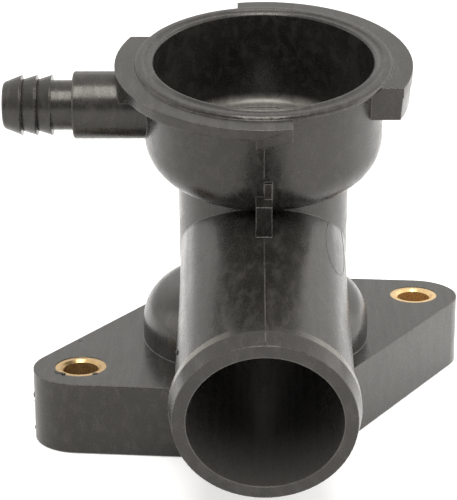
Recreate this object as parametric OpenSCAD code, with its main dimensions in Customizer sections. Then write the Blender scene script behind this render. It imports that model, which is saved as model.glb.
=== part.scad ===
// Coolant filler neck: a moulded tee with a bayonet filler cup on top, a beaded hose neck in
// front, a barbed overflow nipple at the left and a two-bolt flange below.
// The frame's origin is the middle of the flange's sealing face, +Z points away from that face
// and -Y is the hose side. Lengths are millimetres and angles are degrees.

/* [Flange] */
// Distance between the two bolt centres
bolt_spacing = 80; // [74:0.5:96]
// Angle of the bolt line from the X axis
bolt_line_angle = 30.8; // [24:0.1:38]
// Thickness of the flange
flange_t = 14.3; // [10:0.1:20]
// Wall left round the bush's hole by the rounded ear
ear_wall = 4.26; // [3:0.02:7]
// Radius of the flange's two shoulders
shoulder_r = 22.3; // [21:0.1:26]
// Distance of each shoulder's centre from the middle, along Y
shoulder_offset = 10.4; // [9:0.1:14]
// Wall left round the core pockets in the underside
pocket_wall = 2.6; // [1.8:0.1:4]
// Depth of the core pockets in the underside
pocket_depth = 11; // [4:0.1:13]

/* [Bolt bushes] */
// Bore of a brass bush, for the bolt
bush_bore_d = 6.9; // [6:0.1:8]
// Wall of a brass bush
bush_wall = 1.55; // [1.3:0.05:2.5]
// Width of the flat rim round the funnel at the bush's top
bush_rim_w = 1; // [0.5:0.05:1.1]
// Depth of the funnel that leads into the bush's bore
bush_funnel_depth = 0.5; // [0.3:0.1:3]
// Depth of the bush's top below the flange's top
bush_recess = 0.1; // [0.05:0.05:1]
// Gap all round a bush in its hole
bush_clearance = 0.04; // [0.02:0.01:0.1]

/* [Engine port and seal] */
// Diameter of the port in the sealing face
port_d = 40.8; // [34:0.1:42]
// Width of the land between the port and the seal ring's groove
seal_land_w = 1.65; // [1.2:0.05:2.2]
// Thickness of the seal ring's round section
seal_section_d = 2.5; // [1.5:0.1:3]
// Width that the groove has beyond the ring's section
seal_groove_play = 0.6; // [0.2:0.1:1]
// Room between the seal ring and the bottom of its groove
seal_seat_gap = 0.1; // [0.05:0.01:0.3]

/* [Dome] */
// Wall of the dome round the chamber
dome_wall = 2.5; // [1.8:0.1:4]
// Height of the dome's upright side
dome_side_h = 3.6; // [1:0.1:8]
// Radius of the dome's rounded shoulder
dome_round_r = 9; // [8:0.1:16]
// Distance of the dome's middle from the bolt line's middle, towards the hose side
dome_offset = 2.4; // [0:0.1:2.5]

/* [Stem] */
// Lean of the stem from the flange's axis, towards the hose side
stem_lean = 12.5; // [4:0.5:14]
// Sideways distance of the stem's axis from the middle of the bolt line
stem_offset = 1.5; // [0:0.1:3]
// Bore of the stem
stem_bore_d = 28.4; // [27:0.1:30]
// Wall of the stem
stem_wall = 2.5; // [2:0.1:3.5]

/* [Filler cup] */
// Distance from the flange's top to the cup's rim, along the stem
rim_h = 61.5; // [58:0.5:80]
// Bore of the cup
cup_bore_d = 41.9; // [40:0.1:46]
// Wall of the cup
cup_wall_t = 2.05; // [1.6:0.05:3]
// Depth of the cup, from its rim to its seat
cup_depth = 19.5; // [14:0.1:20]
// Thickness of the cup's floor below its seat
cup_floor_t = 4; // [2.5:0.1:5]
// Radius of the cup's rounded outer bottom
cup_round_r = 8; // [7:0.1:10]
// Radius of the fillet between the cup's bore and its seat
seat_fillet_r = 2; // [1:0.1:3]
// Depth of the shallow recess in the seat, inside its raised outer ring
seat_step = 0.4; // [0.2:0.1:1]
// Width of the seat's raised outer ring
seat_ring_w = 2.4; // [2.1:0.1:3]

/* [Cup lip] */
// Distance that the lip stands out from the cup's wall
lip_reach = 1.6; // [1:0.1:2.5]
// Height of the lip
lip_h = 1; // [0.9:0.05:1.4]
// Rounding of the lip's outer edge
lip_round_r = 0.7; // [0.3:0.05:0.8]
// Bevel of the lip's inner edge
lip_bevel = 0.35; // [0.2:0.05:0.6]
// Width of the flat between the lip's bevel and its groove
lip_flat_w = 0.35; // [0.1:0.05:0.6]
// Width of the shallow groove along the lip's top
lip_groove_w = 1.4; // [0.8:0.1:1.8]
// Depth of the shallow groove along the lip's top
lip_groove_depth = 0.3; // [0.1:0.05:0.5]

/* [Bayonet cams] */
// Distance that the cams stand out from the cup's wall
cam_reach = 5.3; // [4:0.1:8]
// Thickness of a cam
cam_t = 2.1; // [1.5:0.1:3]
// Depth of a cam's top below the rim
cam_drop = 0.7; // [0.4:0.05:0.8]
// Distance of a cam's stop end from the cup's middle
cam_stop_y = 11.5; // [9:0.1:14]
// Distance of a cam's thin end past the cup's middle
cam_entry_x = 5.1; // [2:0.1:8]
// Length over which a cam's underside rises to its thin end
cam_thin_l = 5.6; // [3:0.1:8]
// Thickness of a cam at its thin end
cam_thin_t = 0.2; // [0.2:0.1:1]
// Depth of the stop block's underside below the rim
stop_depth = 7.3; // [6:0.1:9]
// Distance of the stop block's inner end past the cup's middle
stop_end_y = 4.5; // [2:0.1:7]
// Distance that the stop block's outside leans in, from its top to its underside
stop_draft = 0.4; // [0.1:0.05:0.8]
// Length of the ramp from the cam up to the stop block
stop_ramp_l = 8; // [4:0.1:10]
// Length of the catch lug under a cam's thin end
lug_l = 6.6; // [4:0.1:8]
// Distance of the catch lug's outside from the cam's outside
lug_setback = 0.6; // [0.2:0.1:1.5]
// Depth of the catch lug's inner end below the rim
lug_depth = 5.2; // [3.8:0.1:6]
// Depth of the catch lug's outer end below the rim
lug_end_depth = 3.7; // [2.9:0.1:5]

/* [Hose neck] */
// Height of the neck's axis above the flange's top, along the stem
neck_h = 22; // [20:0.1:26]
// Distance from the stem's axis to the neck's mouth
neck_l = 62.5; // [52:0.1:80]
// Bore of the neck
neck_bore_d = 27.4; // [24:0.1:28.4]
// Wall of the neck where the hose sits
neck_wall = 2.25; // [1.8:0.05:3]
// Extra radius of the neck at the stem
neck_root_rise = 0.35; // [0.1:0.05:1]
// Length of the neck's tapered root, from the stem's axis
neck_root_l = 27; // [20:0.5:40]
// Distance that the hose bead stands out from the neck
bead_rise = 0.9; // [0.4:0.1:2]
// Length of the hose bead
bead_l = 5.5; // [4.6:0.1:8]
// Length of the bead's steep back
bead_back_l = 0.4; // [0.2:0.1:0.8]
// Length of the bead's slope towards the mouth
bead_slope_l = 3.5; // [1:0.1:3.6]
// Distance that the bead's front edge stands out from the neck
bead_front_rise = 0.15; // [0.05:0.05:0.3]

/* [Stiffening web] */
// Thickness of the web between the neck and the cup
web_t = 3; // [2:0.1:4]
// Distance of the web's front face from the cup's wall
web_reach = 3.7; // [2:0.1:7]
// Height of the web's top above the cup's underside
web_top_rise = 6.2; // [5:0.1:7]
// Thickness of the tab above the web
tab_t = 1.5; // [1:0.1:3]
// Height of the tab above the web
tab_h = 3.2; // [1:0.1:6]
// Distance that the tab stands out from the cup's wall
tab_reach = 0.8; // [0.4:0.1:2]

/* [Overflow nipple] */
// Depth of the nipple's axis below the rim
nipple_depth = 9.8; // [9:0.1:11]
// Length of the nipple's stub outside the cup's wall
nipple_stub_out = 13.4; // [8:0.1:18]
// Length of the nipple's tube outside its stub
nipple_tube_out = 13.5; // [12:0.1:24]
// Bore of the nipple
nipple_bore_d = 6; // [4:0.1:7]
// Wall of the nipple's tube
nipple_wall = 1.8; // [1.2:0.05:2.2]
// Distance that the nipple's stub stands out from its tube
nipple_stub_rise = 1.7; // [1:0.05:2.5]
// Bevel round the stub's end
nipple_stub_bevel = 0.2; // [0.1:0.1:1]
// Number of barbs
barb_count = 3; // [1:1:3]
// Distance that a barb's crest stands out from the tube
barb_rise = 1; // [0.5:0.05:1.5]
// Distance that a barb's foot stands out from the tube
barb_foot_rise = 0.1; // [0.05:0.05:0.4]
// Distance from one barb to the next
barb_pitch = 2.92; // [2.5:0.02:3.2]
// Length of the nipple's nose in front of the first crest
nose_l = 3.5; // [3:0.1:5]
// Distance that the nose's end lies inside the tube's outside
nose_fall = 0.25; // [0.05:0.05:0.4]
// Bevel round the nose's end
nose_bevel = 0.3; // [0.2:0.1:1]

/* [Hidden] */
$fn = 96;

// Length that a cutting shape runs past the face that it cuts
cut_over = 1;
// Length that joined shapes share
join_overlap = 1;
black_nylon = [0.12, 0.12, 0.115];
brass = [0.85, 0.68, 0.36];
black_rubber = [0.06, 0.06, 0.06];

bush_d = bush_bore_d + 2 * bush_wall;
bush_hole_d = bush_d + 2 * bush_clearance;
bush_l = flange_t - bush_recess;
ear_r = bush_hole_d / 2 + ear_wall;
bush_boss_r = bush_hole_d / 2 + pocket_wall;

shoulder_back = [0, shoulder_offset];
shoulder_front = [0, -shoulder_offset];
bolt_right = bolt_spacing / 2 * [cos(bolt_line_angle), sin(bolt_line_angle)];
bolt_left = -bolt_right;

seal_groove_w = seal_section_d + seal_groove_play;
seal_groove_depth = seal_section_d + seal_seat_gap;
seal_ring_d = port_d + 2 * seal_land_w + seal_groove_w;
seal_land_r = (seal_ring_d + seal_groove_w) / 2 + pocket_wall;

dome_d = port_d + 2 * dome_wall;
stem_d = stem_bore_d + 2 * stem_wall;

cup_d = cup_bore_d + 2 * cup_wall_t;
cup_floor_h = rim_h - cup_depth;
cup_bottom_h = cup_floor_h - cup_floor_t;
lip_d = cup_d + 2 * lip_reach;
cam_d = cup_d + 2 * cam_reach;
cam_underside = cam_drop + cam_t;

neck_d = neck_bore_d + 2 * neck_wall;
neck_root_d = neck_d + 2 * neck_root_rise;
bead_d = neck_d + 2 * bead_rise;
web_front_y = -cup_d / 2 - web_reach;
web_top_h = cup_bottom_h + web_top_rise;

nipple_h = rim_h - nipple_depth;
nipple_stub_l = cup_d / 2 + nipple_stub_out;
nipple_l = nipple_stub_l + nipple_tube_out;
nipple_tube_d = nipple_bore_d + 2 * nipple_wall;
nipple_stub_d = nipple_tube_d + 2 * nipple_stub_rise;

// The point of the circle about c with radius r at angle a
function on_circle(c, r, a) = c + r * [cos(a), sin(a)];

// The outward direction of the line that touches circle p before circle q, going anticlockwise;
// a circle is [centre, radius]
function touch_angle(p, q) =
    atan2(q[0].y - p[0].y, q[0].x - p[0].x) - 90 + asin((p[1] - q[1]) / norm(q[0] - p[0]));

// The two points at which that line touches
function touch_points(p, q) =
    let (a = touch_angle(p, q))
    [on_circle(p[0], p[1], a), on_circle(q[0], q[1], a)];

// The band stretched round the circles, which are listed anticlockwise
module stretched_outline(circles) {
    n = len(circles);
    corners = [for (i = [0 : n - 1]) each touch_points(circles[i], circles[(i + 1) % n])];
    polygon(corners);
    for (c = circles) {
        translate(c[0]) circle(c[1]);
    }
}

// The flange's outline, drawn in by a margin
module flange_outline(margin) {
    stretched_outline([
        [bolt_right, ear_r - margin],
        [shoulder_back, shoulder_r - margin],
        [bolt_left, ear_r - margin],
        [shoulder_front, shoulder_r - margin]
    ]);
}

// Places its children in the stem's own frame: origin on the flange's top, Z along the stem
module on_stem() {
    translate([stem_offset, 0, flange_t]) rotate([stem_lean, 0, 0]) children();
}

// Places its children with Z along the hose neck, pointing out of its mouth
module on_neck() {
    on_stem() translate([0, 0, neck_h]) rotate([90, 0, 0]) children();
}

// Places its children with Z along the nipple, pointing out of its end
module on_nipple() {
    on_stem() translate([0, 0, nipple_h]) rotate([0, -90, 0]) children();
}

// Places its children at both bolts
module at_bolts() {
    for (p = [bolt_left, bolt_right]) {
        translate(p) children();
    }
}

// A turned shape's half section: a disc of radius r and height h whose top edge is rounded
module round_top_section(r, h, edge_r) {
    square([r, h - edge_r]);
    square([r - edge_r, h]);
    intersection() {
        translate([r - edge_r, h - edge_r]) circle(edge_r);
        translate([r - edge_r, h - edge_r]) square(edge_r);
    }
}

module dome_section(shrink) {
    round_top_section(dome_d / 2 - shrink, dome_side_h + dome_round_r - shrink, dome_round_r - shrink);
}

module flange_plate() {
    linear_extrude(flange_t) flange_outline(0);
}

module dome() {
    translate([0, -dome_offset, flange_t]) rotate_extrude() dome_section(0);
}

module stem() {
    on_stem() translate([0, 0, -join_overlap]) cylinder(d = stem_d, h = cup_floor_h + join_overlap);
}

// The cup's outside, from its rounded bottom to the underside of the lip
module cup_wall() {
    round_h = cup_bottom_h + cup_round_r;
    on_stem() rotate_extrude() {
        translate([0, round_h]) square([cup_d / 2, rim_h - lip_h / 2 - round_h]);
        translate([0, cup_bottom_h]) square([cup_d / 2 - cup_round_r, cup_round_r]);
        intersection() {
            translate([cup_d / 2 - cup_round_r, round_h]) circle(cup_round_r);
            translate([0, cup_bottom_h]) square([cup_d / 2, cup_round_r]);
        }
    }
}

// The lip's half section: rounded outside, with a shallow groove along its top
module lip_section() {
    groove_in = cup_bore_d / 2 + lip_bevel + lip_flat_w;
    groove_r = (pow(lip_groove_w / 2, 2) + pow(lip_groove_depth, 2)) / (2 * lip_groove_depth);
    difference() {
        translate([0, rim_h - lip_h]) round_top_section(lip_d / 2, lip_h, lip_round_r);
        translate([groove_in + lip_groove_w / 2, rim_h - lip_groove_depth + groove_r]) circle(groove_r);
    }
}

module lip() {
    on_stem() rotate_extrude() lip_section();
}

// The blank of one cam's ring segment, whose underside rises to its thin end
module cam_blank() {
    r = cam_d / 2;
    translate([0, 0, rim_h]) rotate([90, 0, 0]) linear_extrude(r) polygon([
        [-r, -cam_drop],
        [-r, -cam_underside],
        [cam_entry_x - cam_thin_l, -cam_underside],
        [cam_entry_x, -cam_drop - cam_thin_t],
        [cam_entry_x, -cam_drop]
    ]);
    translate([-r, -r, rim_h - cam_underside]) cube([r, r + cam_stop_y, cam_t]);
}

// The blank of the stop block, whose underside ramps down from the cam's underside
module stop_blank() {
    r = cam_d / 2;
    translate([-r, 0, rim_h]) rotate([90, 0, 90]) linear_extrude(r) polygon([
        [cam_stop_y, -cam_drop],
        [cam_stop_y, -stop_depth],
        [-stop_end_y, -stop_depth],
        [-stop_end_y - stop_ramp_l, -cam_underside],
        [-stop_end_y - stop_ramp_l, -cam_drop]
    ]);
}

// The blank of the catch lug, whose underside slopes down to its inner end
module lug_blank() {
    lug_top_depth = cam_drop + cam_thin_t / 2;
    translate([0, 0, rim_h]) rotate([90, 0, 0]) linear_extrude(cam_d / 2) polygon([
        [cam_entry_x - lug_l, -lug_top_depth],
        [cam_entry_x - lug_l, -lug_depth],
        [cam_entry_x, -lug_end_depth],
        [cam_entry_x, -lug_top_depth]
    ]);
}

// The ring that a cam's blank is trimmed to, from radius r1 at the stop's underside to r2 at the rim
module cam_ring(r1, r2) {
    translate([0, 0, rim_h - stop_depth]) difference() {
        cylinder(r1 = r1, r2 = r2, h = stop_depth);
        translate([0, 0, -cut_over])
            cylinder(r = cup_d / 2 - join_overlap, h = stop_depth + 2 * cut_over);
    }
}

// One cam: the blanks trimmed to rings that grow out of the cup's wall
module cam() {
    r = cam_d / 2;
    intersection() {
        cam_ring(r, r);
        cam_blank();
    }
    intersection() {
        cam_ring(r - stop_draft, r);
        stop_blank();
    }
    intersection() {
        cam_ring(r - lug_setback, r - lug_setback);
        lug_blank();
    }
}

module cams() {
    on_stem() for (turn = [0, 180]) {
        rotate(turn) cam();
    }
}

module hose_neck() {
    on_neck() {
        cylinder(d1 = neck_root_d, d2 = neck_d, h = neck_root_l);
        cylinder(d = neck_d, h = neck_l);
        rotate_extrude() bead_section();
    }
}

// The hose bead's half section: a steep back, a short land and a long slope to the mouth
module bead_section() {
    bead_r = bead_d / 2;
    bead_foot = neck_l - bead_l;
    polygon([
        [0, bead_foot],
        [neck_d / 2, bead_foot],
        [bead_r, bead_foot + bead_back_l],
        [bead_r, neck_l - bead_slope_l],
        [neck_d / 2 + bead_front_rise, neck_l],
        [0, neck_l]
    ]);
}

// The upright web between the hose neck and the cup, with a narrower tab on the cup's wall
module stiffening_web() {
    web_foot_h = neck_h + neck_d / 4;
    on_stem() {
        translate([-web_t / 2, web_front_y, web_foot_h])
            cube([web_t, -web_front_y, web_top_h - web_foot_h]);
        translate([0, -cup_d / 2 - tab_reach, web_top_h - join_overlap])
            cube([tab_t, cup_d / 2, tab_h + join_overlap]);
    }
}

// The nipple's outside, as a half section: stub, tube, barbs and nose
module nipple_section() {
    tube_r = nipple_tube_d / 2;
    crest_r = tube_r + barb_rise;
    foot_r = tube_r + barb_foot_rise;
    nose_r = tube_r - nose_fall;
    first_crest = nipple_l - nose_l;
    square([tube_r, first_crest]);
    square([nipple_stub_d / 2 - nipple_stub_bevel, nipple_stub_l]);
    square([nipple_stub_d / 2, nipple_stub_l - nipple_stub_bevel]);
    for (i = [1 : barb_count - 1]) {
        crest = first_crest - i * barb_pitch;
        polygon([[0, crest], [crest_r, crest], [foot_r, crest + barb_pitch], [0, crest + barb_pitch]]);
    }
    polygon([
        [0, first_crest],
        [crest_r, first_crest],
        [nose_r, nipple_l - nose_bevel],
        [nose_r - nose_bevel, nipple_l],
        [0, nipple_l]
    ]);
}

module nipple() {
    on_nipple() rotate_extrude() nipple_section();
}

// The water way: engine port and chamber, stem bore, cup bore, neck bore and nipple bore
module water_way() {
    translate([0, -dome_offset, 0]) {
        translate([0, 0, flange_t]) rotate_extrude() dome_section(dome_wall);
        translate([0, 0, -cut_over]) cylinder(d = port_d, h = flange_t + 2 * cut_over);
    }
    on_stem() {
        cylinder(d = stem_bore_d, h = rim_h);
        cup_bore();
    }
    on_neck() cylinder(d = neck_bore_d, h = neck_l + cut_over);
    on_nipple() cylinder(d = nipple_bore_d, h = nipple_l + cut_over);
}

// The cup's inside, with a bevelled mouth, a fillet at its foot and a shallow recess in its seat
module cup_bore() {
    bore_r = cup_bore_d / 2;
    translate([0, 0, cup_floor_h + seat_fillet_r]) cylinder(r = bore_r, h = cup_depth);
    translate([0, 0, rim_h - lip_bevel])
        cylinder(r1 = bore_r, r2 = bore_r + lip_bevel + cut_over, h = lip_bevel + cut_over);
    rotate_extrude() {
        translate([0, cup_floor_h]) square([bore_r - seat_fillet_r, 2 * seat_fillet_r]);
        intersection() {
            translate([bore_r - seat_fillet_r, cup_floor_h + seat_fillet_r]) circle(seat_fillet_r);
            translate([0, cup_floor_h]) square([bore_r, seat_fillet_r]);
        }
    }
    translate([0, 0, cup_floor_h - seat_step]) cylinder(r = bore_r - seat_ring_w, h = cup_depth);
}

// The holes for the bushes, from face to face
module bush_holes() {
    at_bolts() translate([0, 0, -cut_over]) cylinder(d = bush_hole_d, h = flange_t + 2 * cut_over);
}

// The groove for the seal ring, in the sealing face
module seal_groove() {
    translate([0, -dome_offset, -cut_over]) difference() {
        cylinder(d = seal_ring_d + seal_groove_w, h = seal_groove_depth + cut_over);
        cylinder(d = seal_ring_d - seal_groove_w, h = seal_groove_depth + cut_over);
    }
}

// The core pockets between the seal's land and the bosses of the bushes
module core_pockets() {
    translate([0, 0, -cut_over]) linear_extrude(pocket_depth + cut_over) difference() {
        flange_outline(pocket_wall);
        translate([0, -dome_offset]) circle(seal_land_r);
        at_bolts() circle(bush_boss_r);
    }
}

module neck_body() {
    color(black_nylon) difference() {
        union() {
            flange_plate();
            dome();
            stem();
            cup_wall();
            lip();
            cams();
            hose_neck();
            stiffening_web();
            nipple();
        }
        water_way();
        bush_holes();
        seal_groove();
        core_pockets();
    }
}

// A compression bush: a sleeve with a flat rim and a funnel at its top
module bush() {
    color(brass) difference() {
        cylinder(d = bush_d, h = bush_l);
        translate([0, 0, -cut_over]) cylinder(d = bush_bore_d, h = bush_l + 2 * cut_over);
        translate([0, 0, bush_l - bush_funnel_depth])
            cylinder(d1 = bush_bore_d, d2 = bush_d - 2 * bush_rim_w, h = bush_funnel_depth);
    }
}

module bush_left() {
    translate(bolt_left) bush();
}

module bush_right() {
    translate(bolt_right) bush();
}

module seal_ring() {
    color(black_rubber) translate([0, -dome_offset, seal_section_d / 2])
        rotate_extrude() translate([seal_ring_d / 2, 0]) circle(d = seal_section_d);
}

neck_body();
bush_left();
bush_right();
seal_ring();
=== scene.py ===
import math
import random

import bmesh
import bpy
from mathutils import Matrix, Vector


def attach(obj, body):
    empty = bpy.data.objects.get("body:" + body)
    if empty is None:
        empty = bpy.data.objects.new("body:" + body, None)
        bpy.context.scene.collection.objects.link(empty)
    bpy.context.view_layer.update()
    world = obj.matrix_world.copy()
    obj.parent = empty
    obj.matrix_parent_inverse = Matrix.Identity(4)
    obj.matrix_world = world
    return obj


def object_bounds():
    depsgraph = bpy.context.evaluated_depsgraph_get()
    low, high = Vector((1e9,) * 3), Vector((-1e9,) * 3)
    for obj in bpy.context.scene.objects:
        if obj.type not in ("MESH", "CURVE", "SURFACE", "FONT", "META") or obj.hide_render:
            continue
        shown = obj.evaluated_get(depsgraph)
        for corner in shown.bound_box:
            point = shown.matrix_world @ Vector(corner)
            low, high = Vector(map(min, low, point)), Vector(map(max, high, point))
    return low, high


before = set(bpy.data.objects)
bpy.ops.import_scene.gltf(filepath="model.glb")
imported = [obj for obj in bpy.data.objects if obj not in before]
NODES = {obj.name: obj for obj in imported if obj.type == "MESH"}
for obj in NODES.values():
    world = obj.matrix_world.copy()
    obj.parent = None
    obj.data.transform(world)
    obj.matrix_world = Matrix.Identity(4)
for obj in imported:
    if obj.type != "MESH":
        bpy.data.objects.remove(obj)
START_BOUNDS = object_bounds()
scene = bpy.context.scene

MM = 0.001

# The camera stands where the photograph's camera stood.

CAM_POS = Vector((-0.00092, -0.3517, 0.1504))
CAM_PITCH = 0.326
CAM_YAW = -0.013
CAM_ROLL = -0.005
CAM_F_PX = 1820.0
IMAGE_W = 457


def make_camera():
    cp, sp = math.cos(CAM_PITCH), math.sin(CAM_PITCH)
    cy, sy = math.cos(CAM_YAW), math.sin(CAM_YAW)
    forward = Vector((sy * cp, cy * cp, -sp))
    right = Vector((cy, -sy, 0.0))
    up = right.cross(forward)
    cr, sr = math.cos(CAM_ROLL), math.sin(CAM_ROLL)
    right2 = right * cr + up * sr
    up2 = up * cr - right * sr
    m = Matrix.Identity(4)
    for i in range(3):
        m[i][0] = right2[i]
        m[i][1] = up2[i]
        m[i][2] = -forward[i]
        m[i][3] = CAM_POS[i]
    data = bpy.data.cameras.new("camera")
    data.sensor_fit = "HORIZONTAL"
    data.sensor_width = 36.0
    data.lens = CAM_F_PX * 36.0 / IMAGE_W
    data.clip_start = 0.01
    data.clip_end = 20.0
    cam = bpy.data.objects.new("camera", data)
    scene.collection.objects.link(cam)
    cam.matrix_world = m
    scene.camera = cam
    return cam


make_camera()
scene.view_settings.view_transform = "Standard"


class Tree:
    """A small helper that adds shader nodes and links them."""

    def __init__(self, tree):
        self.t = tree
        self.t.nodes.clear()

    def add(self, kind, **props):
        node = self.t.nodes.new(kind)
        for key, value in props.items():
            setattr(node, key, value)
        return node

    def put(self, value, socket):
        if isinstance(value, bpy.types.NodeSocket):
            self.t.links.new(value, socket)
        else:
            socket.default_value = value

    def math(self, op, a, b=None, c=None, clamp=False):
        node = self.add("ShaderNodeMath", operation=op, use_clamp=clamp)
        for i, v in enumerate((a, b, c)):
            if v is not None:
                self.put(v, node.inputs[i])
        return node.outputs[0]

    def noise(self, vector, scale, detail=2.0, rough=0.5, distort=0.0):
        node = self.add("ShaderNodeTexNoise")
        self.put(vector, node.inputs["Vector"])
        node.inputs["Scale"].default_value = scale
        node.inputs["Detail"].default_value = detail
        node.inputs["Roughness"].default_value = rough
        node.inputs["Distortion"].default_value = distort
        return node.outputs["Fac"]

    def remap(self, value, a, b, c, d, smooth=False):
        node = self.add("ShaderNodeMapRange", clamp=True)
        if smooth:
            node.interpolation_type = "SMOOTHSTEP"
        self.put(value, node.inputs["Value"])
        node.inputs["From Min"].default_value = a
        node.inputs["From Max"].default_value = b
        node.inputs["To Min"].default_value = c
        node.inputs["To Max"].default_value = d
        return node.outputs["Result"]

    def mix(self, fac, a, b):
        node = self.add("ShaderNodeMix", data_type="RGBA")
        self.put(fac, node.inputs["Factor"])
        self.put(a, node.inputs[6])
        self.put(b, node.inputs[7])
        return node.outputs[2]


def new_material(name):
    mat = bpy.data.materials.new(name)
    mat.use_nodes = True
    return mat, Tree(mat.node_tree)


def principled(name):
    """A new material, its node tree and its principled shader."""
    mat, t = new_material(name)
    out = t.add("ShaderNodeOutputMaterial")
    bsdf = t.add("ShaderNodeBsdfPrincipled")
    t.put(bsdf.outputs[0], out.inputs[0])
    return mat, t, bsdf


def set_material(obj, mat):
    obj.data.materials.clear()
    obj.data.materials.append(mat)


# The stem's frame: its origin stands on the flange's top, Z runs along the stem.

LEAN = math.radians(12.5)
COS_L, SIN_L = math.cos(LEAN), math.sin(LEAN)
STEM_X = 1.5
FLANGE_T = 14.3

# The moulding's sizes in the stem's frame, in mm.

CUP_R, CUP_BOTTOM, CUP_ROUND, RIM_H = 23.0, 38.0, 8.0, 61.5
STEM_R, NECK_R, NECK_H, NECK_L = 16.7, 15.95, 22.0, 62.5
BEAD_FOOT, BEAD_TOP, BEAD_SLOPE, BEAD_R, FACE_R = 57.0, 57.4, 59.0, 16.85, 16.1
NECK_BORE_R, STEM_BORE_R, SEAT_R = 13.75, 14.25, 20.9


def stem_point(x, y, z):
    """A point of the stem's frame, in mm, as a point of the row, in metres."""
    return Vector((STEM_X + x, y * COS_L - z * SIN_L, FLANGE_T + y * SIN_L + z * COS_L)) * MM


def stem_coords(t):
    """The place in metres, then shader sockets x, y, z of the stem's frame, in mm."""
    place = t.add("ShaderNodeTexCoord").outputs["Object"]
    sep = t.add("ShaderNodeSeparateXYZ")
    t.put(place, sep.inputs[0])
    x = t.math("MULTIPLY_ADD", sep.outputs[0], 1000.0, -STEM_X)
    y = t.math("MULTIPLY", sep.outputs[1], 1000.0)
    z = t.math("MULTIPLY_ADD", sep.outputs[2], 1000.0, -FLANGE_T)
    along_y = t.math("ADD", t.math("MULTIPLY", y, COS_L), t.math("MULTIPLY", z, SIN_L))
    along_z = t.math("SUBTRACT", t.math("MULTIPLY", z, COS_L), t.math("MULTIPLY", y, SIN_L))
    return place, x, along_y, along_z


def edge_mask(t, radius, low, high):
    """1 on sharp outer and inner edges within the radius, 0 on flat and smooth surfaces."""
    bevel = t.add("ShaderNodeBevel", samples=8)
    bevel.inputs["Radius"].default_value = radius
    geo = t.add("ShaderNodeNewGeometry")
    dot = t.add("ShaderNodeVectorMath", operation="DOT_PRODUCT")
    t.put(bevel.outputs[0], dot.inputs[0])
    t.put(geo.outputs["Normal"], dot.inputs[1])
    return t.remap(dot.outputs["Value"], high, low, 0.0, 1.0)


def distance(t, a, b):
    """The length of the vector (a, b)."""
    total = t.math("ADD", t.math("MULTIPLY", a, a), t.math("MULTIPLY", b, b))
    return t.math("POWER", total, 0.5)


def drawn_out(t, x, y, z, scale_y, scale_z):
    """Coordinates in which a noise looks drawn out along Y and Z."""
    out = t.add("ShaderNodeCombineXYZ")
    t.put(x, out.inputs[0])
    t.put(t.math("MULTIPLY", y, scale_y), out.inputs[1])
    t.put(t.math("MULTIPLY", z, scale_z), out.inputs[2])
    return out.outputs[0]


def product(t, first, *others):
    for other in others:
        first = t.math("MULTIPLY", first, other)
    return first


NYLON_IOR = 1.54
NYLON_TINT = (1.0, 0.965, 0.915, 1)
NYLON_DARK = (0.0110, 0.0104, 0.0092, 1)
NYLON_LIGHT = (0.0160, 0.0151, 0.0134, 1)
NYLON_SMUDGE = (0.040, 0.0380, 0.0340, 1)
# Painted light inside the bores: a lighter tone there.
NYLON_BORE_PAINTED_LIGHT = (0.052, 0.050, 0.0465, 1)
# Painted highlight on the cup's seat and the foot of its fillet.
NYLON_SEAT_HIGHLIGHT = (0.135, 0.129, 0.119, 1)
# Painted highlight on the sides of the bead's crest.
NYLON_CREST_HIGHLIGHT = (0.17, 0.162, 0.146, 1)
NYLON_FLECK = (0.110, 0.103, 0.090, 1)
# Painted highlight on sharp edges.
NYLON_EDGE_HIGHLIGHT = (0.150, 0.141, 0.126, 1)


def mark_material():
    """The same moulding, painted paler as a highlight, for raised marks too fine for rounded edges.
    """
    mat, t, bsdf = principled("black_nylon_marks")
    place = t.add("ShaderNodeTexCoord").outputs["Object"]
    mottle = t.noise(place, 900.0, 3.0, 0.6)
    dark, pale = (0.020, 0.0190, 0.0170, 1), (0.062, 0.058, 0.052, 1)
    # Paler than the moulding: a painted highlight on the ridges.
    base = t.mix(t.remap(mottle, 0.35, 0.65, 0.0, 1.0), dark, pale)
    t.put(base, bsdf.inputs["Base Color"])
    bsdf.inputs["IOR"].default_value = NYLON_IOR
    bsdf.inputs["Specular Tint"].default_value = NYLON_TINT
    t.put(t.remap(mottle, 0.3, 0.7, 0.28, 0.42), bsdf.inputs["Roughness"])
    return mat


def flash_material():
    """The same moulding, duller, for scraps of flash."""
    mat, t, bsdf = principled("black_nylon_flash")
    place = t.add("ShaderNodeTexCoord").outputs["Object"]
    mottle = t.noise(place, 1600.0, 3.0, 0.6)
    dark, pale = (0.010, 0.0095, 0.0085, 1), (0.030, 0.0285, 0.0255, 1)
    base = t.mix(t.remap(mottle, 0.35, 0.65, 0.0, 1.0), dark, pale)
    t.put(base, bsdf.inputs["Base Color"])
    t.put(t.remap(mottle, 0.3, 0.7, 0.35, 0.60), bsdf.inputs["Roughness"])
    return mat


def bore_mask(t, y, z, radius, neck_radius):
    """1 in the hose neck's bore and in the stem's bore below the seat."""
    in_neck = product(
        t,
        t.remap(neck_radius, NECK_BORE_R, NECK_BORE_R + 0.2, 1.0, 0.0),
        t.remap(y, -17.0, -16.0, 1.0, 0.0),
    )
    in_stem = product(
        t,
        t.remap(radius, STEM_BORE_R, STEM_BORE_R + 0.2, 1.0, 0.0),
        t.remap(z, 41.5, 42.0, 1.0, 0.0),
    )
    return t.math("MAXIMUM", in_neck, in_stem)


def seat_mask(t, z, radius):
    """1 on the cup's seat and the foot of its fillet."""
    return product(
        t,
        t.remap(radius, SEAT_R, SEAT_R + 0.2, 1.0, 0.0),
        t.remap(z, 43.0, 44.2, 1.0, 0.0),
        t.remap(radius, STEM_BORE_R - 0.05, STEM_BORE_R + 0.15, 0.0, 1.0),
        t.remap(z, 40.8, 41.2, 0.0, 1.0),
    )


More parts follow.
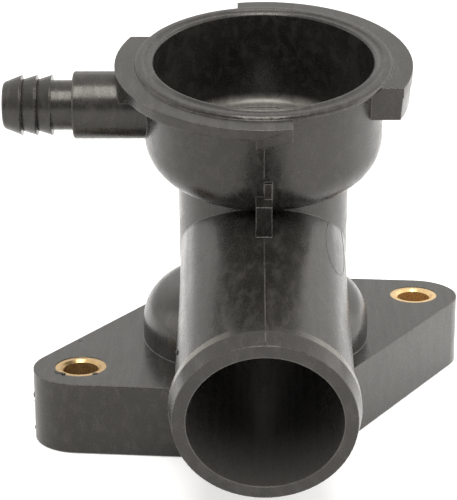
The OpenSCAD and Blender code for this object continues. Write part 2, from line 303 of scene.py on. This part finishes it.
def crest_mask(t, x, y, neck_radius):
    """1 on the crest of the hose neck's bead, at its sides."""
    return product(
        t,
        t.remap(neck_radius, BEAD_R - 0.15, BEAD_R - 0.05, 0.0, 1.0),
        t.remap(y, -59.2, -59.0, 0.0, 1.0),
        t.remap(y, -57.1, -56.8, 1.0, 0.0),
        t.remap(t.math("ABSOLUTE", x), 4.0, 13.0, 0.0, 1.0, True),
    )


def nylon_material():
    mat, t, bsdf = principled("black_nylon")
    place, x, y, z = stem_coords(t)
    # The melt ran along the neck and up the stem, so the mottling is drawn out that way.
    cloud = t.noise(place, 90.0, 4.0, 0.6)
    mottle = t.noise(drawn_out(t, x, y, z, 0.42, 0.62), 0.55, 4.0, 0.6, 0.5)
    streak = t.noise(drawn_out(t, x, y, z, 0.06, 0.25), 0.9, 3.0, 0.55)
    grain = t.noise(place, 2600.0, 2.0, 0.6)
    fibre = t.noise(place, 4300.0, 1.0, 0.5)
    base = t.mix(t.remap(cloud, 0.35, 0.65, 0.0, 1.0), NYLON_DARK, NYLON_LIGHT)
    base = t.mix(t.remap(mottle, 0.48, 0.72, 0.0, 0.7), base, NYLON_SMUDGE)

    # Painted light: the bores are painted lighter, and the cup's seat and the sides of the bead's
    # crest get a painted highlight.
    radius = distance(t, x, y)
    neck_radius = distance(t, x, t.math("SUBTRACT", z, NECK_H))
    inside = bore_mask(t, y, z, radius, neck_radius)
    # Painted light: the bores are lighter.
    base = t.mix(inside, base, NYLON_BORE_PAINTED_LIGHT)
    # Painted highlight on the cup's seat.
    seat = product(t, seat_mask(t, z, radius), t.remap(mottle, 0.3, 0.7, 0.55, 1.0))
    base = t.mix(seat, base, NYLON_SEAT_HIGHLIGHT)
    # Painted highlight on the bead's crest, at its sides.
    crest = product(t, crest_mask(t, x, y, neck_radius), t.remap(mottle, 0.3, 0.7, 0.7, 1.0))
    base = t.mix(crest, base, NYLON_CREST_HIGHLIGHT)

    # Glass fibre shows as flecks, and sharp outer and inner edges get a painted highlight.
    fleck = product(t, t.remap(fibre, 0.68, 0.78, 0.0, 0.5), t.math("SUBTRACT", 1.0, inside))
    base = t.mix(fleck, base, NYLON_FLECK)
    # Painted highlight along sharp edges.
    edge_highlight = product(t, edge_mask(t, 0.00022, 0.86, 0.985), t.remap(mottle, 0.35, 0.62, 0.35, 0.95))
    base = t.mix(edge_highlight, base, NYLON_EDGE_HIGHLIGHT)
    t.put(base, bsdf.inputs["Base Color"])
    bsdf.inputs["IOR"].default_value = NYLON_IOR
    bsdf.inputs["Specular Tint"].default_value = NYLON_TINT

    rough = t.math(
        "ADD",
        t.remap(grain, 0.3, 0.7, 0.22, 0.32),
        t.remap(mottle, 0.3, 0.7, -0.03, 0.05),
    )
    rough = t.math("ADD", rough, t.remap(streak, 0.35, 0.65, -0.035, 0.045))
    t.put(rough, bsdf.inputs["Roughness"])
    bevel = t.add("ShaderNodeBevel", samples=6)
    bevel.inputs["Radius"].default_value = 0.00040
    bump = t.add("ShaderNodeBump")
    bump.inputs["Strength"].default_value = 0.20
    bump.inputs["Distance"].default_value = 0.00005
    t.put(t.math("ADD", t.math("MULTIPLY", grain, 0.5), mottle), bump.inputs["Height"])
    t.put(bevel.outputs[0], bump.inputs["Normal"])
    t.put(bump.outputs[0], bsdf.inputs["Normal"])
    return mat


def brass_material():
    """Turned brass. The bush at -X is browner."""
    mat, t, bsdf = principled("brass")
    place = t.add("ShaderNodeTexCoord").outputs["Object"]
    cloud = t.noise(place, 700.0, 3.0, 0.6)
    fine = t.noise(place, 4200.0, 2.0, 0.5)
    dark, light = (0.70, 0.46, 0.20, 1), (0.84, 0.63, 0.33, 1)
    base = t.mix(t.remap(cloud, 0.3, 0.7, 0.0, 1.0), dark, light)
    sep = t.add("ShaderNodeSeparateXYZ")
    t.put(place, sep.inputs[0])
    # The bush at -X is made darker and browner.
    darker_at_left = t.remap(sep.outputs[0], -0.01, 0.01, 1.0, 0.0)
    darker_at_left = product(t, darker_at_left, t.remap(cloud, 0.3, 0.7, 0.85, 0.55))
    base = t.mix(darker_at_left, base, (0.42, 0.27, 0.12, 1))
    t.put(base, bsdf.inputs["Base Color"])
    bsdf.inputs["Metallic"].default_value = 0.82
    t.put(t.remap(fine, 0.3, 0.7, 0.20, 0.36), bsdf.inputs["Roughness"])
    bump = t.add("ShaderNodeBump")
    bump.inputs["Strength"].default_value = 0.15
    bump.inputs["Distance"].default_value = 0.00003
    t.put(fine, bump.inputs["Height"])
    t.put(bump.outputs[0], bsdf.inputs["Normal"])
    return mat


def rubber_material():
    mat, t, bsdf = principled("black_rubber")
    place = t.add("ShaderNodeTexCoord").outputs["Object"]
    fine = t.noise(place, 1800.0, 3.0, 0.6)
    dark, light = (0.012, 0.012, 0.012, 1), (0.022, 0.022, 0.021, 1)
    base = t.mix(t.remap(fine, 0.3, 0.7, 0.0, 1.0), dark, light)
    t.put(base, bsdf.inputs["Base Color"])
    t.put(t.remap(fine, 0.3, 0.7, 0.5, 0.66), bsdf.inputs["Roughness"])
    return mat


set_material(NODES["neck_body"], nylon_material())
brass = brass_material()
set_material(NODES["bush_left"], brass)
set_material(NODES["bush_right"], brass)
set_material(NODES["seal_ring"], rubber_material())

# Mould marks that stand a few hundredths of a millimetre proud of the moulding.


def new_piece(name, verts, faces, mat):
    mesh = bpy.data.meshes.new(name)
    mesh.from_pydata([tuple(v) for v in verts], [], faces)
    mesh.update()
    bm = bmesh.new()
    bm.from_mesh(mesh)
    bmesh.ops.recalc_face_normals(bm, faces=bm.faces)
    bm.to_mesh(mesh)
    bm.free()
    for poly in mesh.polygons:
        poly.use_smooth = True
    obj = bpy.data.objects.new(name, mesh)
    scene.collection.objects.link(obj)
    set_material(obj, mat)
    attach(obj, "root")
    return obj


RIDGE_PROFILE = [(-1.0, -0.6), (-0.75, 0.25), (-0.3, 0.9), (0.3, 0.9), (0.75, 0.25), (1.0, -0.6)]


def add_ridge(verts, faces, path, width, height, closed=False):
    """A thin raised line along a path of (point, surface normal), both in the stem's frame."""
    n = len(path)
    start = len(verts)
    k = len(RIDGE_PROFILE)
    for i, (point, normal) in enumerate(path):
        before = path[i - 1] if closed or i > 0 else path[i]
        after = path[(i + 1) % n] if closed or i < n - 1 else path[i]
        along = (Vector(after[0]) - Vector(before[0])).normalized()
        normal = Vector(normal).normalized()
        side = along.cross(normal).normalized()
        for a, b in RIDGE_PROFILE:
            p = Vector(point) + side * (a * width / 2) + normal * (b * height)
            verts.append(stem_point(*p))
    rings = n if closed else n - 1
    for i in range(rings):
        r0 = start + i * k
        r1 = start + ((i + 1) % n) * k
        for j in range(k):
            j1 = (j + 1) % k
            faces.append((r0 + j, r0 + j1, r1 + j1, r1 + j))
    if not closed:
        faces.append(tuple(start + j for j in range(k)))
        faces.append(tuple(start + (n - 1) * k + j for j in reversed(range(k))))


def line(a, b, steps):
    return [tuple(a[i] + (b[i] - a[i]) * t / steps for i in range(3)) for t in range(steps + 1)]


def wavy(path, seed, amount):
    """The same path with a slight, repeatable unevenness across X, as a parting line has."""
    rng = random.Random(seed)
    out = []
    drift = 0.0
    for p, nrm in path:
        drift = drift * 0.8 + rng.uniform(-amount, amount)
        out.append(((p[0] + drift, p[1], p[2]), nrm))
    return out


def seam_paths():
    """The parting line in the stem's plane X = 0: paths with their width and height."""
    up = (0, 0, 1)
    top = [(p, up) for p in line((0, -27.2, NECK_H + NECK_R), (0, -BEAD_FOOT, NECK_H + NECK_R), 40)]
    top += [((0, -BEAD_TOP, NECK_H + BEAD_R), (0, 0.5, 1))]
    top += [((0, -BEAD_SLOPE, NECK_H + BEAD_R), (0, -0.1, 1))]
    top += [((0, -NECK_L + 0.1, NECK_H + FACE_R + 0.02), (0, -0.3, 1))]
    low = [
        ((0, p[1], 2 * NECK_H - p[2]), (0, normal[1], -normal[2]))
        for p, normal in top
        if p[1] < -31.0
    ]
    turn = [math.radians(a) for a in range(0, 91, 10)]
    inner, mid = CUP_R - CUP_ROUND, CUP_BOTTOM + CUP_ROUND
    front = [(p, (0, -1, 0)) for p in line((0, -CUP_R, RIM_H - 6.4), (0, -CUP_R, mid + 1.6), 14)]
    back = [(p, (0, 1, 0)) for p in line((0, CUP_R, RIM_H - 3.2), (0, CUP_R, mid), 16)]
    for a in turn[1:8]:
        point = (0, inner + CUP_ROUND * math.cos(a), mid - CUP_ROUND * math.sin(a))
        back.append((point, (0, math.cos(a), -math.sin(a))))
    spine = [(p, (0, 1, 0)) for p in line((0, STEM_R, CUP_BOTTOM + 0.3), (0, STEM_R, 8.6), 30)]
    return [
        (top, 0.26, 0.06),
        (low, 0.30, 0.06),
        (front, 0.22, 0.035),
        (back, 0.28, 0.05),
        (spine, 0.28, 0.05),
    ]


def make_seam():
    """The parting line, as one piece."""
    verts, faces = [], []
    for i, (path, width, height) in enumerate(seam_paths()):
        add_ridge(verts, faces, wavy(path, 11 + i, 0.012), width, height)
    return new_piece("parting_line", verts, faces, marks)


def on_neck(s, phi, r=NECK_R):
    """A point of the neck's outside and its normal: s along the neck, phi from the top towards +X."""
    n = (math.sin(phi), 0, math.cos(phi))
    return ((n[0] * r, -s, NECK_H + n[2] * r), n)


ROOT_L = 27.0


def make_witness_mark():
    """The faint oval outline that an insert left on the neck's right shoulder."""
    verts, faces = [], []
    path = []
    for i in range(72):
        a = 2 * math.pi * i / 72
        s = 16.4 + 10.6 * math.cos(a)
        phi = math.radians(61.0 + 13.0 * math.sin(a) - 4.0 * math.cos(a))
        root_rise = 0.35 * (1 - min(s, ROOT_L) / ROOT_L)
        path.append(on_neck(s, phi, NECK_R + root_rise))
    add_ridge(verts, faces, path, 0.24, 0.045, closed=True)
    return new_piece("witness_mark", verts, faces, marks)


def flash_lump(verts, faces, centre, size, seed):
    """A small uneven lump of flash, as a squashed and dented ball."""
    bm = bmesh.new()
    bmesh.ops.create_icosphere(bm, subdivisions=2, radius=1.0)
    rng = random.Random(seed)
    dents = []
    for _ in range(7):
        way = Vector((rng.uniform(-1, 1), rng.uniform(-1, 1), rng.uniform(-1, 1))).normalized()
        dents.append((way, rng.uniform(0.2, 0.55)))
    start = len(verts)
    for v in bm.verts:
        k = 1.0
        for way, depth in dents:
            k -= depth * max(0.0, v.co.normalized().dot(way) - 0.55)
        offset = Vector((v.co.x * size[0], v.co.y * size[1], v.co.z * size[2])) * k
        verts.append((Vector(centre) + offset) * MM)
    for f in bm.faces:
        faces.append(tuple(start + v.index for v in f.verts))
    bm.free()


# Scraps of flash on the left bush's rim, the left ear's side and the flange's back edge:
# centre and half sizes in mm, and the seed of the dents.

FLASH = [
    ((-38.15, -23.95, FLANGE_T + 0.02), (0.85, 0.50, 0.16), 3),
    ((-37.45, -24.45, FLANGE_T + 0.05), (0.55, 0.50, 0.20), 4),
    ((-38.85, -23.35, FLANGE_T + 0.00), (0.50, 0.55, 0.12), 5),
    ((-31.25, -24.15, FLANGE_T + 0.02), (0.75, 0.45, 0.13), 6),
    ((-43.62, -21.4, 8.6), (0.22, 0.45, 0.75), 7),
    ((-43.66, -20.6, 6.9), (0.18, 0.40, 0.45), 8),
    ((-43.60, -21.2, 1.6), (0.24, 0.45, 0.55), 9),
    ((-35.6, -6.9, FLANGE_T - 0.05), (0.70, 0.45, 0.14), 10),
]


def make_flash():
    verts, faces = [], []
    for centre, size, seed in FLASH:
        flash_lump(verts, faces, centre, size, seed)
    # The flake at the neck's left side.
    p, n = on_neck(46.6, math.radians(-76.0))
    centre = stem_point(*[p[i] + n[i] * 0.1 for i in range(3)]) / MM
    flash_lump(verts, faces, centre, (0.30, 0.75, 0.55), 12)
    return new_piece("flash_scraps", verts, faces, flash)


marks = mark_material()
flash = flash_material()
make_seam()
make_witness_mark()
make_flash()

# The floor, the white surroundings and the lamps.


WARM = (1.0, 0.985, 0.955)
FLOOR_TONE = (0.82, 0.82, 0.82, 1)
# The floor's own glow, as the camera sees it and as the part mirrors it.
FLOOR_SEEN = 0.35
FLOOR_BACK = 0.6
FLOOR_SIDE = 0.45
FLOOR_FRONT = 0.05
# The tent's level near the horizon and overhead, and its factors in front and at the right.
WORLD_LOW = 0.78
WORLD_HIGH = 1.12
WORLD_FRONT = 0.4
WORLD_RIGHT = 1.5


def shown(t, path):
    """1 for camera and transmission rays."""
    return t.math("MAXIMUM", path.outputs["Is Camera Ray"], path.outputs["Is Transmission Ray"])


def make_floor():
    """A pale floor that keeps the part's shadow."""
    mesh = bpy.data.meshes.new("floor")
    r = 3.0
    mesh.from_pydata([(-r, -r, 0), (r, -r, 0), (r, r, 0), (-r, r, 0)], [], [(0, 1, 2, 3)])
    obj = bpy.data.objects.new("floor", mesh)
    scene.collection.objects.link(obj)
    mat, t = new_material("floor_white")
    out = t.add("ShaderNodeOutputMaterial")
    bsdf = t.add("ShaderNodeBsdfPrincipled")
    bsdf.inputs["Base Color"].default_value = FLOOR_TONE
    bsdf.inputs["Roughness"].default_value = 0.9
    glow = t.add("ShaderNodeEmission")
    glow.inputs["Color"].default_value = (1, 1, 1, 1)
    path = t.add("ShaderNodeLightPath")
    sep = t.add("ShaderNodeSeparateXYZ")
    t.put(t.add("ShaderNodeTexCoord").outputs["Object"], sep.inputs[0])
    x, y = sep.outputs[0], sep.outputs[1]
    behind = t.remap(y, -0.02, 0.14, 0.0, FLOOR_BACK, True)
    beside = product(
        t,
        t.remap(x, 0.01, 0.05, FLOOR_FRONT, FLOOR_SIDE, True),
        t.remap(y, 0.02, 0.07, 1.0, 0.0, True),
    )
    mirrored = product(t, path.outputs["Is Glossy Ray"], t.math("ADD", behind, beside))
    strength = t.math("MULTIPLY_ADD", shown(t, path), FLOOR_SEEN, mirrored)
    t.put(strength, glow.inputs["Strength"])
    both = t.add("ShaderNodeAddShader")
    t.put(bsdf.outputs[0], both.inputs[0])
    t.put(glow.outputs[0], both.inputs[1])
    t.put(both.outputs[0], out.inputs[0])
    obj.data.materials.append(mat)
    obj.location.z = START_BOUNDS[0][2] - 0.0002
    return obj


make_floor()


def make_world():
    """A light tent: brighter overhead and at the right, darker behind the camera."""
    world = bpy.data.worlds.new("studio")
    scene.world = world
    world.use_nodes = True
    t = Tree(world.node_tree)
    out = t.add("ShaderNodeOutputWorld")
    bg = t.add("ShaderNodeBackground")
    path = t.add("ShaderNodeLightPath")
    sep = t.add("ShaderNodeSeparateXYZ")
    t.put(t.add("ShaderNodeTexCoord").outputs["Generated"], sep.inputs[0])
    dx, dy, dz = sep.outputs[0], sep.outputs[1], sep.outputs[2]
    level = product(
        t,
        t.remap(dz, 0.10, 0.42, WORLD_LOW, WORLD_HIGH, True),
        t.remap(dy, -0.75, -0.10, WORLD_FRONT, 1.0, True),
        t.remap(dx, 0.15, 0.85, 1.0, WORLD_RIGHT, True),
    )
    seen = shown(t, path)
    lighting = product(t, level, t.math("SUBTRACT", 1.0, seen))
    t.put(t.mix(seen, (*WARM, 1), (1, 1, 1, 1)), bg.inputs["Color"])
    t.put(t.math("ADD", lighting, seen), bg.inputs["Strength"])
    t.put(bg.outputs[0], out.inputs[0])


make_world()

# The lamps: name, place, width, height and radiance. All of them face the part.

AIM = (0.0, -0.01, 0.04)
LAMPS = [
    ("key", (0.0, -0.34, 0.62), 0.34, 0.46, 7.8),
    ("side_left", (-0.60, 0.05, 0.22), 0.35, 0.35, 1.2),
    ("side_right", (0.60, 0.10, 0.18), 0.35, 0.35, 2.2),
]


def area(name, place, width, height, radiance):
    data = bpy.data.lights.new(name, "AREA")
    data.shape = "RECTANGLE"
    data.size = width
    data.size_y = height
    data.energy = radiance * math.pi * width * height
    data.color = WARM
    obj = bpy.data.objects.new(name, data)
    scene.collection.objects.link(obj)
    obj.location = place
    direction = Vector(AIM) - Vector(place)
    obj.rotation_euler = direction.to_track_quat("-Z", "Y").to_euler()


for lamp in LAMPS:
    area(*lamp)
